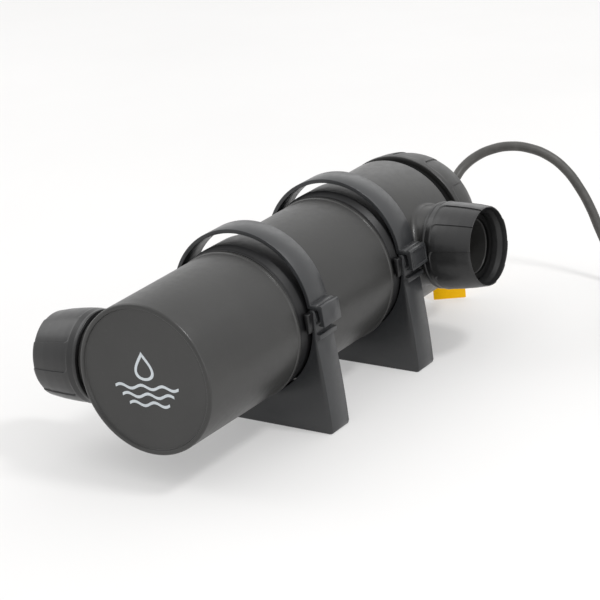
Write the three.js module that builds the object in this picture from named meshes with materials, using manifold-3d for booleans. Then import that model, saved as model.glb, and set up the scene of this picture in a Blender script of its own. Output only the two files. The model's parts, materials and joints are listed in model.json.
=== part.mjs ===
// In-line ultraviolet pond clarifier: a moulded tube vessel in two hinged clamps, with a union nut on
// each port and a lamp insert behind a screw cap. Millimetres, +Z up, +Y along the vessel to its rear.
import * as THREE from "three";
import { mergeVertices } from "three/addons/utils/BufferGeometryUtils.js";
import Module from "manifold-3d";

const wasm = await Module();
wasm.setup();

// ---------------------------------------------------------------- driving dimensions
const GAP = 0.3; // left between pieces that touch
const ROUND = 56; // sides of the large turned pieces
const SMALL_ROUND = 24; // sides of the small turned pieces

const AXIS_HEIGHT = 63.5; // vessel axis above the floor
const VESSEL_TILT = THREE.MathUtils.degToRad(5.3); // the vessel lies rolled in its clamps
const BODY_LENGTH = 326; // front face to the end of the cable gland
const FRONT_RADIUS = 45;
const REAR_RADIUS = 47.6;
const VESSEL_LENGTH = 278;
const WALL = 3.6;
const NECK_RADIUS = 43;
const NECK_BORE = 39;
const NECK_END = 300;
const BAND_RADIUS = 44.8; // the recessed bands that the clamps hold
const BAND_STARTS = [90, 195.5];
const BAND_LENGTH = 29;

const INLET_Y = 31.2;
const OUTLET_Y = 250.3;
const COLLAR_RADIUS = 25.3;
const COLLAR_END = 51.1; // from the vessel axis, like the other port stations
const SPIGOT_RADIUS = 21.4;
const SPIGOT_END = 74;
const PORT_BORE = 17;
const NUT_START = 51.4;
const NUT_END = 85.1;
const NUT_LIP = 23.7;

const CLAMP_STARTS = [99, 202.5];
const CLAMP_WIDTH = 18.6;
const FOOT_HALF = 57.9;
const LEG_TOP_HALF = 50.8;
const LEDGE_HEIGHT = 59;
const ARM_OUTER = 51.7;
const ARM_TOP = 76.9;
const CRADLE_RADIUS = 48.4;
const CRADLE_HEIGHT = 66.2; // centre of the cradle's arc
const STRAP_RADIUS = 46.6; // inside
const STRAP_THICKNESS = 2.5;
const STRAP_HEIGHT = 71.2; // centre of the strap's arc
const HINGE = { x: -52, z: 72.5, knuckle: 4.2, pin: 1.7 };
const KNUCKLE_WIDTH = 8;
const STRAP_NECK = [[-45.6, 79.6], [-48.1, 80.6], [-55, 75.4], [-52, 72.5], [-47.9, 73.4]];

const CAP_START = 286;
const CAP_LENGTH = 29;
const CAP_RADIUS = 47.8;
const CAP_TAPER = 9.2;
const CAP_OPENING = 33;
const FLANGE_START = NECK_END + GAP;
const FLANGE_END = 304.4;
const HOUSING_RADIUS = 38.7;
const HOUSING_START = 273;
const COVER_END = 318;
const POST_CIRCLE = 22; // radius on which the cover screws stand
const SCREW_ANGLES = [90, 210, 330].map(THREE.MathUtils.degToRad);
const SLEEVE_RADIUS = 18;
const SLEEVE_START = 72;

const CORD_RADIUS = 3.35;
const GLAND_END = BODY_LENGTH;
const BOOT_END = 347.3;
const BOOT_RISE = 3.5;
const COIL = { x: 204, y: 335, inner: 23.2, outer: 57.6, bottom: 0.9, top: 28.2 };
const TIE_ANGLE = THREE.MathUtils.degToRad(50);
const PLUG = { x: 261.6, start: 251.7, neckEnd: 229, bodyEnd: 195, pinEnd: 176, height: 9.2 };
const TAG = { x: 12.5, y: 325.7, z: 0.6, width: 22, length: 51.2, thickness: 0.8 };
const TAG_YAW = THREE.MathUtils.degToRad(35);
const TAG_LEAN = THREE.MathUtils.degToRad(15.8);

// ---------------------------------------------------------------- materials
function plastic(color, roughness = 0.5) {
  return new THREE.MeshStandardMaterial({ color, roughness, metalness: 0 });
}

const MATERIALS = {
  vessel: plastic(0x4b4946, 0.55),
  clamp: plastic(0x3c4042, 0.5),
  nut: plastic(0x3c3a38, 0.35),
  black: plastic(0x1c1c1d, 0.5),
  rubber: plastic(0x151515, 0.85),
  white: plastic(0xd8d8d2, 0.45),
  board: plastic(0x1f6b3a, 0.6),
  yellow: plastic(0xd49b0a, 0.5),
  quartz: new THREE.MeshStandardMaterial({
    color: 0xdfe8ee,
    roughness: 0.05,
    transparent: true,
    opacity: 0.35,
  }),
  metal: new THREE.MeshStandardMaterial({ color: 0xb9bbbd, roughness: 0.3, metalness: 1 }),
};

// ---------------------------------------------------------------- geometry helpers
function manifoldOf(positions, triangles) {
  return new wasm.Manifold(
    new wasm.Mesh({ numProp: 3, vertProperties: positions, triVerts: new Uint32Array(triangles) }),
  );
}

// A three.js geometry as a solid whose faces point out.
function solid(geometry) {
  const bare = geometry.index ? geometry.toNonIndexed() : geometry.clone();
  bare.deleteAttribute("normal");
  bare.deleteAttribute("uv");
  const merged = mergeVertices(bare, 1e-4);
  const index = merged.index.array;
  const kept = [];
  for (let i = 0; i < index.length; i += 3) {
    const [a, b, c] = [index[i], index[i + 1], index[i + 2]];
    if (a !== b && b !== c && a !== c) kept.push([a, b, c]);
  }
  const positions = merged.attributes.position.array;
  const made = manifoldOf(positions, kept.flat());
  return made.volume() > 0 ? made : manifoldOf(positions, kept.map(([a, b, c]) => [a, c, b]).flat());
}

function joined(...pieces) {
  return pieces.reduce((sum, piece) => sum.add(piece));
}

function cut(body, ...tools) {
  return tools.reduce((rest, tool) => rest.subtract(tool), body);
}

// Points [radius, station] of an elliptical arc, for profiles.
function arc(centre, radii, from, to, steps) {
  return Array.from({ length: steps + 1 }, (_, i) => {
    const angle = THREE.MathUtils.degToRad(from + ((to - from) * i) / steps);
    return [centre[0] + radii[0] * Math.cos(angle), centre[1] + radii[1] * Math.sin(angle)];
  });
}

// A profile of [radius, station] turned about the Y axis.
function turned(profile, sides = ROUND) {
  return new THREE.LatheGeometry(
    profile.map(([radius, station]) => new THREE.Vector2(Math.max(radius, 0), station)),
    sides,
  );
}

// A closed ring profile: the last point returns to the first.
function ring(profile, sides = ROUND) {
  return turned([...profile, profile[0]], sides);
}

// A rod along Y between two stations.
function rod(radius, from, to, sides = SMALL_ROUND) {
  return turned([[0, from], [radius, from], [radius, to], [0, to]], sides);
}

function tubeRing(outer, inner, from, to, sides = ROUND) {
  return ring([[outer, from], [outer, to], [inner, to], [inner, from]], sides);
}

function box(x0, x1, y0, y1, z0, z1) {
  const geometry = new THREE.BoxGeometry(x1 - x0, y1 - y0, z1 - z0);
  return geometry.translate((x0 + x1) / 2, (y0 + y1) / 2, (z0 + z1) / 2);
}

// A shape drawn in the XZ plane, extruded along Y between two stations.
function plate(shape, from, to, curveSegments = 18) {
  const geometry = new THREE.ExtrudeGeometry(shape, { depth: to - from, bevelEnabled: false, curveSegments });
  return geometry.rotateX(Math.PI / 2).translate(0, to, 0);
}

// Turns a piece built along Y so that it runs out of a port, on the given side of the vessel.
function onPort(geometry, side, station) {
  return geometry.rotateZ((-side * Math.PI) / 2).translate(0, station, 0);
}

// ---------------------------------------------------------------- scene graph
const clarifier = new THREE.Group();
const machine = new THREE.Group(); // stations from the front face, set about the middle of the body
machine.position.y = -BODY_LENGTH / 2;
clarifier.add(machine);
const barrel = new THREE.Group(); // everything that turns with the vessel's roll, built about its axis
barrel.position.z = AXIS_HEIGHT;
barrel.rotation.y = -VESSEL_TILT;
const insert = new THREE.Group(); // the lamp insert, level, built about the vessel axis
insert.position.z = AXIS_HEIGHT;
machine.add(barrel, insert);

function add(parent, name, shape, material) {
  const body = shape instanceof wasm.Manifold ? shape : solid(shape);
  const made = body.getMesh();
  const geometry = new THREE.BufferGeometry();
  geometry.setAttribute("position", new THREE.BufferAttribute(new Float32Array(made.vertProperties), 3));
  geometry.setIndex(new THREE.BufferAttribute(new Uint32Array(made.triVerts), 1));
  geometry.computeVertexNormals();
  const mesh = new THREE.Mesh(geometry, material);
  mesh.name = name;
  parent.add(mesh);
  return mesh;
}

// ---------------------------------------------------------------- vessel
function vesselRadius(station) {
  return FRONT_RADIUS + ((REAR_RADIUS - FRONT_RADIUS) * station) / VESSEL_LENGTH;
}

function bandPoints(start) {
  const end = start + BAND_LENGTH;
  return [
    [vesselRadius(start), start],
    [BAND_RADIUS, start + 0.5],
    [BAND_RADIUS, end - 0.5],
    [vesselRadius(end), end],
  ];
}

function vessel() {
  const rim = 2.5;
  const shell = solid(
    turned([
      [0, 0],
      ...arc([FRONT_RADIUS - rim, rim], [rim, rim], -90, 0, 3),
      ...BAND_STARTS.flatMap(bandPoints),
      [REAR_RADIUS, VESSEL_LENGTH - 0.8],
      [REAR_RADIUS - 0.8, VESSEL_LENGTH],
      [NECK_RADIUS, VESSEL_LENGTH],
      [NECK_RADIUS, NECK_END],
      [0, NECK_END],
    ]),
  );
  const chamber = solid(
    turned([
      [0, WALL],
      [FRONT_RADIUS - WALL - 1.5, WALL],
      [FRONT_RADIUS - WALL, WALL + 1.5],
      [REAR_RADIUS - WALL, 267.5],
      [NECK_BORE, 270],
      [NECK_BORE, NECK_END + 1],
      [0, NECK_END + 1],
    ]),
  );
  const collar = [
    [0, 30],
    [31, 30],
    [29.4, 37.5],
    [27.2, 41],
    [25.8, 44.5],
    [COLLAR_RADIUS, 47.5],
    [COLLAR_RADIUS, COLLAR_END - 1],
    [COLLAR_RADIUS - 1, COLLAR_END],
    [SPIGOT_RADIUS, COLLAR_END],
    [SPIGOT_RADIUS, SPIGOT_END - 0.6],
    [SPIGOT_RADIUS - 0.6, SPIGOT_END],
    [0, SPIGOT_END],
  ];
  const ports = [[-1, INLET_Y], [1, OUTLET_Y]];
  const collars = ports.map(([side, station]) => solid(onPort(turned(collar, 40), side, station)));
  const bores = ports.map(([side, station]) => {
    const bore = rod(PORT_BORE, 20, SPIGOT_END + 1, 40);
    return solid(onPort(bore, side, station));
  });
  return cut(joined(shell, ...collars), chamber, ...bores);
}

function unionNut(side, station) {
  return onPort(
    ring(
      [
        [26.2, NUT_START],
        [27.3, NUT_START + 1.2],
        [27.8, 58],
        [27.5, 67],
        [26.7, 76],
        [25.4, 84.4],
        [25, NUT_END],
        [NUT_LIP + 0.3, NUT_END],
        [NUT_LIP, 79],
        [21.9, 79],
        [21.9, NUT_START],
      ],
      48,
    ),
    side,
    station,
  );
}

function portGasket(side, station) {
  return onPort(tubeRing(21, PORT_BORE + 0.4, SPIGOT_END + GAP, SPIGOT_END + 2.3, 48), side, station);
}

add(barrel, "vessel", vessel(), MATERIALS.vessel);
add(
  barrel,
  "neck_gasket",
  tubeRing(45.2, NECK_RADIUS + GAP, VESSEL_LENGTH + GAP, CAP_START - GAP),
  MATERIALS.rubber,
);
add(barrel, "inlet_nut", unionNut(-1, INLET_Y), MATERIALS.nut);
add(barrel, "outlet_nut", unionNut(1, OUTLET_Y), MATERIALS.nut);
add(barrel, "inlet_gasket", portGasket(-1, INLET_Y), MATERIALS.rubber);
add(barrel, "outlet_gasket", portGasket(1, OUTLET_Y), MATERIALS.rubber);

// ---------------------------------------------------------------- clamps
// The front view of a saddle: a wedge foot with a cradle, a latch arm at +X and a hinge arm at -X.
function saddleShape() {
  const corner = 2.5;
  const shape = new THREE.Shape();
  shape.moveTo(-FOOT_HALF + corner, 0);
  shape.lineTo(FOOT_HALF - corner, 0);
  shape.quadraticCurveTo(FOOT_HALF, 0, FOOT_HALF - 0.3, corner);
  shape.quadraticCurveTo(55.6, 30, LEG_TOP_HALF, LEDGE_HEIGHT);
  shape.lineTo(53.6, LEDGE_HEIGHT + 0.2);
  shape.lineTo(53.6, LEDGE_HEIGHT + 3);
  shape.lineTo(ARM_OUTER - 0.6, LEDGE_HEIGHT + 3.2);
  shape.lineTo(ARM_OUTER - 0.6, 70);
  shape.lineTo(ARM_OUTER + 0.5, 70.6);
  shape.lineTo(ARM_OUTER - 0.6, 75);
  shape.lineTo(ARM_OUTER - 1.2, ARM_TOP);
  const rise = Math.asin((ARM_TOP - CRADLE_HEIGHT) / CRADLE_RADIUS);
  shape.absarc(0, CRADLE_HEIGHT, CRADLE_RADIUS, rise, Math.PI, true);
  shape.lineTo(HINGE.x + HINGE.knuckle - 0.6, HINGE.z);
  shape.absarc(HINGE.x, HINGE.z, HINGE.knuckle, 0, Math.PI, false);
  shape.lineTo(-LEG_TOP_HALF - 4, 62);
  shape.lineTo(-LEG_TOP_HALF, LEDGE_HEIGHT - 2);
  shape.quadraticCurveTo(-55.6, 30, -FOOT_HALF + 0.3, corner);
  shape.quadraticCurveTo(-FOOT_HALF, 0, -FOOT_HALF + corner, 0);
  return shape;
}

// The pockets that core the saddle out from behind, between its outer wall, ribs and cradle wall.
function corePockets(front, rear) {
  const wall = 3;
  const cradleWall = CRADLE_RADIUS + wall;
  const under = (x) => CRADLE_HEIGHT - Math.sqrt(cradleWall ** 2 - x ** 2);
  // Each pocket's inner side, its outer side under the cradle, and its outer wall's foot and waist.
  const pockets = [
    { from: 1.3, to: 25, foot: 25, waist: [25, 12] },
    { from: 27.5, to: 44, foot: 53.5, waist: [50, 34] },
  ];
  return pockets.flatMap(({ from, to, foot, waist }) =>
    [-1, 1].map((side) => {
      const shape = new THREE.Shape();
      shape.moveTo(side * from, wall);
      shape.lineTo(side * foot, wall);
      shape.lineTo(side * waist[0], waist[1]);
      for (let i = 0; i <= 6; i += 1) {
        const x = to - ((to - from) * i) / 6;
        shape.lineTo(side * x, under(x));
      }
      return solid(plate(shape, front + wall, rear + 1, 8));
    }),
  );
}

function saddle(front) {
  const rear = front + CLAMP_WIDTH;
  const middle = (front + rear) / 2;
  const half = KNUCKLE_WIDTH / 2 + GAP;
  const slot = box(-60, HINGE.x + 5.2, middle - half, middle + half, HINGE.z - HINGE.knuckle - 1, 80);
  const pinHole = rod(HINGE.pin + 0.05, front - 1, rear + 1).translate(HINGE.x, 0, HINGE.z);
  // Guide lug: the latch arm reaches forward over the recessed band.
  const lug = cut(
    solid(box(44, 50.4, front - 5, front + 1, LEDGE_HEIGHT + 5, 75.6)),
    solid(rod(BAND_RADIUS + 1, front - 6, front + 2, ROUND).translate(0, 0, AXIS_HEIGHT)),
  );
  const body = joined(solid(plate(saddleShape(), front, rear)), lug);
  return cut(body, solid(slot), solid(pinHole), ...corePockets(front, rear));
}

// The strap: an arc over the vessel that ends in a latch tab at +X and in a knuckle on the hinge pin.
function strapShape() {
  const outer = STRAP_RADIUS + STRAP_THICKNESS;
  const flangeBottom = ARM_TOP + GAP;
  const flangeTop = flangeBottom + 3;
  const outerEnd = Math.asin((flangeTop - STRAP_HEIGHT) / outer);
  const innerEnd = Math.asin((flangeBottom - STRAP_HEIGHT) / STRAP_RADIUS);
  const hingeEnd = THREE.MathUtils.degToRad(172);
  const shape = new THREE.Shape();
  shape.moveTo(STRAP_RADIUS * Math.cos(innerEnd), flangeBottom);
  shape.lineTo(53.1, flangeBottom);
  shape.lineTo(54.6, 69.4);
  shape.lineTo(52.9, 68.8);
  shape.lineTo(52.9, 67.6);
  shape.lineTo(57.4, 67.4);
  shape.lineTo(55.9, flangeTop);
  shape.lineTo(outer * Math.cos(outerEnd), flangeTop);
  shape.absarc(0, STRAP_HEIGHT, outer, outerEnd, hingeEnd, false);
  shape.lineTo(STRAP_RADIUS * Math.cos(hingeEnd), STRAP_HEIGHT + STRAP_RADIUS * Math.sin(hingeEnd));
  shape.absarc(0, STRAP_HEIGHT, STRAP_RADIUS, hingeEnd, innerEnd, true);
  return shape;
}

function strap(front) {
  const rear = front + CLAMP_WIDTH;
  const from = (front + rear - KNUCKLE_WIDTH) / 2;
  const to = from + KNUCKLE_WIDTH;
  const knuckle = rod(HINGE.knuckle, from, to).translate(HINGE.x, 0, HINGE.z);
  const hole = rod(HINGE.pin + 0.08, front - 1, rear + 1).translate(HINGE.x, 0, HINGE.z);
  const neck = new THREE.Shape(STRAP_NECK.map(([x, z]) => new THREE.Vector2(x, z)));
  const arch = plate(strapShape(), front, rear, 32);
  const body = joined(solid(arch), solid(plate(neck, from, to)), solid(knuckle));
  return cut(body, solid(hole));
}

["front", "rear"].forEach((place, i) => {
  const front = CLAMP_STARTS[i];
  const pin = rod(HINGE.pin, front + 0.2, front + CLAMP_WIDTH - 0.2).translate(HINGE.x, 0, HINGE.z);
  add(machine, `${place}_saddle`, saddle(front), MATERIALS.clamp);
  add(machine, `${place}_strap`, strap(front), MATERIALS.clamp);
  add(machine, `${place}_strap_pin`, pin, MATERIALS.metal);
});

// ---------------------------------------------------------------- screw cap
function capNut() {
  const wallEnd = CAP_START + CAP_LENGTH;
  return ring([
    [CAP_RADIUS - 1, CAP_START],
    ...arc([CAP_RADIUS - CAP_TAPER, CAP_START + 0.8], [CAP_TAPER, CAP_LENGTH - 0.8], 0, 90, 7),
    [36.4, wallEnd],
    [37.6, 308.4],
    [CAP_OPENING, 308.4],
    [CAP_OPENING, FLANGE_END + GAP],
    [43.6, FLANGE_END + GAP],
    [43.6, CAP_START],
  ]);
}

add(insert, "cap_nut", capNut(), MATERIALS.nut);

// ---------------------------------------------------------------- lamp insert
function onPostCircle(geometry, angle) {
  return geometry.translate(POST_CIRCLE * Math.cos(angle), 0, POST_CIRCLE * Math.sin(angle));
}

function insertHousing() {
  const cup = ring([
    [22, 261.5],
    [22, HOUSING_START],
    [HOUSING_RADIUS - 1, HOUSING_START],
    [HOUSING_RADIUS, HOUSING_START + 1],
    [HOUSING_RADIUS, 285.6],
    [35.1, 285.6],
    [35.1, 289.6],
    [HOUSING_RADIUS, 289.6],
    [HOUSING_RADIUS, 298.4],
    [34, 298.4],
    [34, HOUSING_START + 3],
    [SLEEVE_RADIUS + 0.35, HOUSING_START + 3],
    [SLEEVE_RADIUS + 0.35, 261.5],
  ]);
  const posts = SCREW_ANGLES.map((angle) =>
    cut(
      solid(onPostCircle(rod(3.8, HOUSING_START + 1, 302, 20), angle)),
      solid(onPostCircle(rod(1.5, 288, 303, 12), angle)),
    ),
  );
  return joined(solid(cup), ...posts);
}

function backCover() {
  const dome = ring([
    [42.4, FLANGE_START],
    [42.4, FLANGE_END],
    [32, FLANGE_END],
    [31.6, 312],
    ...arc([27.6, 312.6], [4, 4], 0, 75, 3),
    [12, COVER_END],
    [6.3, COVER_END],
    [6.3, 314.2],
    [28.6, 311],
    [28.6, FLANGE_START],
  ]);
  const holes = SCREW_ANGLES.flatMap((angle) => [
    solid(onPostCircle(rod(1.7, 300, 320, 12), angle)),
    solid(onPostCircle(rod(3.6, 316, 320, 16), angle)),
  ]);
  return cut(solid(dome), ...holes);
}

function coverScrew(angle) {
  return onPostCircle(
    turned([[0, 290], [1.25, 290], [1.25, 316.3], [3.2, 316.3], [3.2, 318.2], [2.6, 318.9], [0, 318.9]], 16),
    angle,
  );
}

function quartzSleeve() {
  const inner = SLEEVE_RADIUS - 1.5;
  const end = HOUSING_START + 2.5;
  return turned(
    [
      ...arc([0, SLEEVE_START + SLEEVE_RADIUS], [SLEEVE_RADIUS, SLEEVE_RADIUS], -90, 0, 6),
      [SLEEVE_RADIUS, end],
      [inner, end],
      ...arc([0, SLEEVE_START + SLEEVE_RADIUS], [inner, inner], 0, -90, 6),
    ],
    36,
  );
}

// Twin-tube lamp: two parallel tubes, bridged near their tips.
function lampTubes() {
  const tubes = [-7.3, 7.3].map((x) =>
    solid(
      turned([...arc([0, 114], [5.9, 5.9], -90, 0, 4), [5.9, 261.9], [0, 261.9]], 16).translate(x, 0, 0),
    ),
  );
  const bridge = solid(new THREE.CylinderGeometry(3, 3, 12, 12).rotateZ(Math.PI / 2).translate(0, 122, 0));
  return joined(...tubes, bridge);
}

function circuitBoard() {
  const posts = SCREW_ANGLES.map((angle) => solid(onPostCircle(rod(4.2, 290, 305, 20), angle)));
  return cut(solid(rod(32.5, 295.4, 297, 40)), ...posts);
}

function glandBody() {
  const hexagon = solid(rod(10.4, COVER_END + GAP, 321.6, 6));
  const crown = arc([5.8, 323.2], [2.8, 2.8], 0, 90, 4);
  const dome = solid(turned([[0, 321], [8.6, 321], [8.6, 323.2], ...crown, [0, GLAND_END]], 32));
  const stem = solid(rod(5.9, 312, 320, 24));
  return joined(hexagon, dome, stem);
}

add(insert, "insert_housing", insertHousing(), MATERIALS.black);
add(insert, "housing_o_ring", ring(arc([37.1, 287.6], [1.7, 1.7], 0, 315, 7), 48), MATERIALS.rubber);
add(insert, "cover_gasket", tubeRing(38.4, 34.6, 298.7, NECK_END), MATERIALS.rubber);
add(insert, "back_cover", backCover(), MATERIALS.black);
SCREW_ANGLES.forEach((angle, i) => add(insert, `cover_screw_${i + 1}`, coverScrew(angle), MATERIALS.metal));
add(insert, "quartz_sleeve", quartzSleeve(), MATERIALS.quartz);
add(insert, "sleeve_o_ring", ring(arc([19.9, 259.6], [1.5, 1.5], 0, 315, 7), 32), MATERIALS.rubber);
add(
  insert,
  "sleeve_nut",
  ring([
    [25.5, 256.5],
    [25.5, 272.4],
    [22.4, 272.4],
    [22.4, 257.9],
    [18.4, 257.9],
    [18.4, 255.5],
    [24.5, 255.5],
  ], 48),
  MATERIALS.black,
);
add(insert, "uvc_lamp", lampTubes(), MATERIALS.quartz);
add(insert, "lamp_base", box(-14, 14, 262.2, 284, -6.6, 6.6), MATERIALS.white);
add(insert, "lamp_holder", box(-13, 13, 284.3, 295.1, -10, 10), MATERIALS.white);
add(insert, "ballast_board", circuitBoard(), MATERIALS.board);
add(insert, "ballast_choke", box(-14, -2, 297.3, 309, -17, -3), MATERIALS.black);
add(insert, "ballast_capacitor", rod(5, 297.3, 310, 20).translate(11, 0, 8), MATERIALS.black);
add(insert, "terminal_block", box(1, 13, 297.3, 306, -20, -10), MATERIALS.white);
add(insert, "cable_gland", glandBody(), MATERIALS.black);

// ---------------------------------------------------------------- cord, coil and plug
// Strain relief on the gland, flexed upward by the cord's bend.
function cordBoot() {
  const start = GLAND_END + GAP;
  const boot = turned(
    [
      [0, start],
      [6.2, start],
      [6.2, 329],
      [5.8, 330.5],
      [5.4, 335],
      [4.9, 341],
      [4.5, BOOT_END],
      [0, BOOT_END],
    ],
    24,
  );
  const points = boot.attributes.position;
  for (let i = 0; i < points.count; i += 1) {
    const along = (points.getY(i) - start) / (BOOT_END - start);
    points.setZ(i, points.getZ(i) + BOOT_RISE * along ** 2);
  }
  return boot;
}

// Centre line of the cord: up out of the boot, over in an arc to the right and down to the floor.
const CORD_ROUTE = [
  [0, 348.7, 67.5],
  [0, 356, 70.2],
  [0.3, 363.5, 74],
  [2, 371.3, 79.4],
  [8.5, 379.6, 85.8],
  [18, 386.1, 90.1],
  [29.3, 391.3, 91.8],
  [41.5, 395.6, 90.2],
  [54.5, 399, 84.8],
  [66, 400.9, 75.6],
  [75.9, 401.2, 63.3],
  [83.9, 400.7, 50.1],
  [90.6, 399.2, 36.7],
  [97.8, 397.2, 24.5],
  [106.5, 394.8, 14.5],
  [117, 392.2, 7.6],
  [130, 390.2, 4.3],
  [145, 389.2, 3.6],
  [160, 389, 3.6],
  [175.5, 389, 3.6],
];
// Centre line from the coil's top layer down to the plug.
const TAIL_ROUTE = [
  [259.2, 306.5, 22],
  [259.7, 297, 19.6],
  [260.4, 286, 16.4],
  [261, 276, 12.9],
  [261.4, 267, 10.6],
  [PLUG.x, 259, 9.5],
  [PLUG.x, PLUG.start + GAP, PLUG.height],
];

function cordTube(route, steps) {
  const section = new THREE.Shape();
  section.absarc(0, 0, CORD_RADIUS, 0, 2 * Math.PI, false);
  const points = route.map(([x, y, z]) => new THREE.Vector3(x, y, z));
  const path = new THREE.CatmullRomCurve3(points, false, "centripetal");
  return new THREE.ExtrudeGeometry(section, { steps, curveSegments: 5, extrudePath: path });
}

function coilTie() {
  return cut(
    solid(box(COIL.inner - 1, COIL.outer + 0.9, -3, 3, 0.1, COIL.top + 0.9)),
    solid(box(COIL.inner - 0.5, COIL.outer + 0.4, -4, 4, 0.6, COIL.top + 0.4)),
  );
}

// Two-pin plug lying flat: a tapered neck, then an oval body, built along Y and turned to face -Y.
function plugBody() {
  const halfWidth = 17.6;
  const halfHeight = PLUG.height - GAP;
  const outline = new THREE.Shape();
  outline.absellipse(0, 0, halfWidth, halfHeight, 0, 2 * Math.PI, false);
  const body = plate(outline, PLUG.bodyEnd, PLUG.neckEnd, 16);
  const neck = turned(
    [[0, PLUG.neckEnd - 2], [8, PLUG.neckEnd - 2], [6.4, PLUG.neckEnd + 6], [4.6, PLUG.start], [0, PLUG.start]],
    24,
  );
  return joined(solid(body), solid(neck));
}

function warningTag() {
  return cut(
    solid(box(-TAG.width / 2, TAG.width / 2, -TAG.thickness / 2, TAG.thickness / 2, 0, TAG.length)),
    solid(rod(2.4, -2, 2, 20).translate(0, 0, TAG.length - 3.2)),
  );
}

function tagLoop() {
  const loop = new THREE.TorusGeometry(8.2, 0.6, 6, 24).scale(1, 13.5 / 8.2, 1);
  return loop.rotateX(Math.PI / 2).translate(1, 336.4, 58.5);
}

add(insert, "cord_boot", cordBoot(), MATERIALS.rubber);
add(machine, "power_cord", cordTube(CORD_ROUTE, 42), MATERIALS.rubber);
add(
  machine,
  "cord_coil",
  tubeRing(COIL.outer, COIL.inner, COIL.bottom, COIL.top, 48).rotateX(Math.PI / 2).translate(COIL.x, COIL.y, 0),
  MATERIALS.rubber,
);
add(machine, "cord_tail", cordTube(TAIL_ROUTE, 10), MATERIALS.rubber);
const tie = add(machine, "coil_tie", coilTie(), MATERIALS.black);
tie.position.set(COIL.x, COIL.y, 0);
tie.rotation.z = TIE_ANGLE;
add(machine, "mains_plug", plugBody(), MATERIALS.rubber).position.set(PLUG.x, 0, PLUG.height);
[-1, 1].forEach((side, i) => {
  const pin = rod(2.4, PLUG.pinEnd, PLUG.bodyEnd - GAP, 16).translate(PLUG.x + 9.5 * side, 0, PLUG.height);
  add(machine, `plug_pin_${i + 1}`, pin, MATERIALS.metal);
});
const tag = add(machine, "warning_tag", warningTag(), MATERIALS.yellow);
tag.position.set(TAG.x, TAG.y, TAG.z);
tag.rotation.set(-TAG_LEAN, 0, TAG_YAW, "ZYX");
add(machine, "tag_loop", tagLoop(), MATERIALS.black);

export default clarifier;
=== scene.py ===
"""Looks of an in-line ultraviolet pond clarifier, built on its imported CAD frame."""
import json
import math

import bmesh
import bpy
from mathutils import Matrix, Vector


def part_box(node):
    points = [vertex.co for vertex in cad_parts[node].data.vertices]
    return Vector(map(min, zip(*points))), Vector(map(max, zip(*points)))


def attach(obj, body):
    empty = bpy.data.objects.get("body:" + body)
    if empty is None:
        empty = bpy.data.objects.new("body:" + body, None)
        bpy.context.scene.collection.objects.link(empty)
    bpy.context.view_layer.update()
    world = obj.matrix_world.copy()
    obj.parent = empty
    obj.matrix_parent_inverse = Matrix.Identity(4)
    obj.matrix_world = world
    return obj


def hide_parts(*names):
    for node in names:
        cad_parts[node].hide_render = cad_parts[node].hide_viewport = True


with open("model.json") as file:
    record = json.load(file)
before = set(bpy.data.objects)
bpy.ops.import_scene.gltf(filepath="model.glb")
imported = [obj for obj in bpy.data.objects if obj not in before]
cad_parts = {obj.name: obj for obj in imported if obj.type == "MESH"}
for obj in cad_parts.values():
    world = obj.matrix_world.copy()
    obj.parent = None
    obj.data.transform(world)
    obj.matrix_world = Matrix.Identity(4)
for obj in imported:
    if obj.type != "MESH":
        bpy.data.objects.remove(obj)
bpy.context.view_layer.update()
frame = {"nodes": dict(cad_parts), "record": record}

JOINTS = {joint["name"]: joint for joint in frame["record"]["behaviour"]["joints"]}
MM = 0.001
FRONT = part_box("vessel")[0].y  # the vessel's front face
AXIS_HEIGHT = JOINTS["cap_spin"]["pos_m"][2]
OUTLET_AXIS = JOINTS["outlet_nut_spin"]["axis"]
TILT = math.atan2(OUTLET_AXIS[2], OUTLET_AXIS[0])

# Working frames, in millimetres from the vessel's front face: on the floor, level on the vessel's
# axis, and rolled with the vessel.
IN_MM = Matrix.Diagonal((MM, MM, MM, 1))
MACHINE = Matrix.Translation((0, FRONT, 0)) @ IN_MM
LEVEL = Matrix.Translation((0, FRONT, AXIS_HEIGHT)) @ IN_MM
BARREL = Matrix.Translation((0, FRONT, AXIS_HEIGHT)) @ Matrix.Rotation(-TILT, 4, "Y") @ IN_MM
INLET_Y = (JOINTS["inlet_nut_spin"]["pos_m"][1] - FRONT) * 1000
OUTLET_Y = (JOINTS["outlet_nut_spin"]["pos_m"][1] - FRONT) * 1000
PORTS = {"inlet": (-1, INLET_Y), "outlet": (1, OUTLET_Y)}


def port_frame(name):
    """The frame whose +Y runs out of a port along its axis."""
    side, station = PORTS[name]
    return BARREL @ Matrix.Translation((0, station, 0)) @ Matrix.Rotation(-side * math.pi / 2, 4, "Z")


# ------------------------------------------------------------------ camera
def add_camera():
    """A long lens from the front right, a little above the vessel."""
    azimuth, elevation, roll = 0.59, 0.35, -0.076  # radians
    distance, focal_length, sensor_width = 1.31337, 125.772, 36
    target = Vector((-0.01273, FRONT + 0.18, 0.04682))
    back = Vector(
        (
            math.sin(azimuth) * math.cos(elevation),
            -math.cos(azimuth) * math.cos(elevation),
            math.sin(elevation),
        )
    )
    level = Vector((math.cos(azimuth), math.sin(azimuth), 0))
    up = level.cross(-back)
    right = level * math.cos(roll) + up * math.sin(roll)
    up = up * math.cos(roll) - level * math.sin(roll)
    camera = bpy.data.objects.new("camera", bpy.data.cameras.new("camera"))
    camera.data.sensor_width = sensor_width
    camera.data.lens = focal_length
    camera.data.clip_end = 20
    turn = Matrix((right, up, back)).transposed().to_4x4()
    camera.matrix_world = Matrix.Translation(target + back * distance) @ turn
    bpy.context.scene.collection.objects.link(camera)
    bpy.context.scene.camera = camera


add_camera()


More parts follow.
